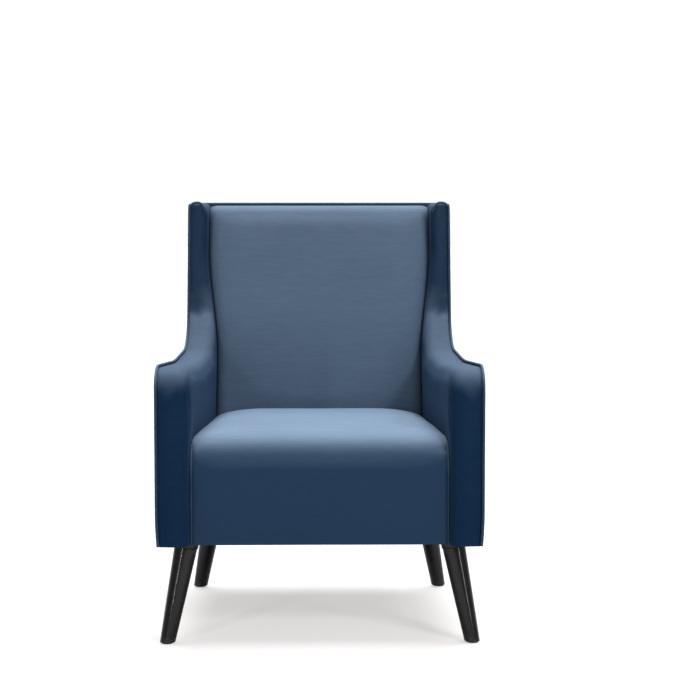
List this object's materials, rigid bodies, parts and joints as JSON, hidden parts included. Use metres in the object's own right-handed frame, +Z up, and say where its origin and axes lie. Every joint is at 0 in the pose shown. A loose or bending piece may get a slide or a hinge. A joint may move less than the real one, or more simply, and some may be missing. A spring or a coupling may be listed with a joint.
{
  "type": "armchair",
  "caption": "Upholstered armchair with low swept arms that rise into narrow wings, a tight seat and back, piped edges and splayed tapered legs.",
  "frame": {"origin": "on the floor, under the middle of the chair: the centre of the bounding box in X and Y, at the height of the glides' faces", "axes": "+Z up; the chair faces -Y, so a person sitting in it looks along -Y; +X is to the right as seen from the front"},
  "size_m": [0.7134, 0.8012, 0.9634],
  "materials": {
    "velvet": "short-pile velvet, soft sheen",
    "leg_lacquer": "gloss black lacquer",
    "beech": "planed",
    "plywood": "sanded",
    "hardboard": "smooth pressed board",
    "foam": "open-cell foam",
    "felt": "needled felt",
    "webbing": "woven elastic webbing",
    "black_cloth": "non-woven cloth",
    "spring_steel": "drawn wire",
    "plated_steel": "zinc plated",
    "glide_plastic": "moulded"
  },
  "bodies": {
    "root": {"back_cover": "velvet", "back_foam": "foam", "back_lower_rail": "beech", "back_middle_rail": "beech", "back_top_rail": "beech", "back_webbing": "webbing", "bottom_cloth": "black_cloth", "corner_blocks": "beech", "foot_glides": "glide_plastic", "frame_dowels": "beech", "front_left_leg": "leg_lacquer", "front_rail": "beech", "front_right_leg": "leg_lacquer", "left_arm_cover": "velvet", "left_arm_front_padding": "foam", "left_arm_rail": "beech", "left_arm_rear_padding": "foam", "left_arm_welt": "velvet", "left_front_post": "beech", "left_rear_post": "beech", "left_seat_rail": "beech", "left_seat_welt": "velvet", "left_side_board": "hardboard", "left_side_cover": "velvet", "left_tack_rail": "beech", "left_wing_board": "plywood", "left_wing_padding": "foam", "leg_bolts": "plated_steel", "leg_plates": "plated_steel", "plate_screws": "plated_steel", "rear_board": "hardboard", "rear_cover": "velvet", "rear_left_leg": "leg_lacquer", "rear_rail": "beech", "rear_right_leg": "leg_lacquer", "rear_welt": "velvet", "right_arm_cover": "velvet", "right_arm_front_padding": "foam", "right_arm_rail": "beech", "right_arm_rear_padding": "foam", "right_arm_welt": "velvet", "right_front_post": "beech", "right_rear_post": "beech", "right_seat_rail": "beech", "right_seat_welt": "velvet", "right_side_board": "hardboard", "right_side_cover": "velvet", "right_tack_rail": "beech", "right_wing_board": "plywood", "right_wing_padding": "foam", "seat_cover": "velvet", "seat_foam": "foam", "seat_springs": "spring_steel", "spring_clips": "spring_steel", "spring_pad": "felt", "staples": "spring_steel"}
  },
  "joints": []
}
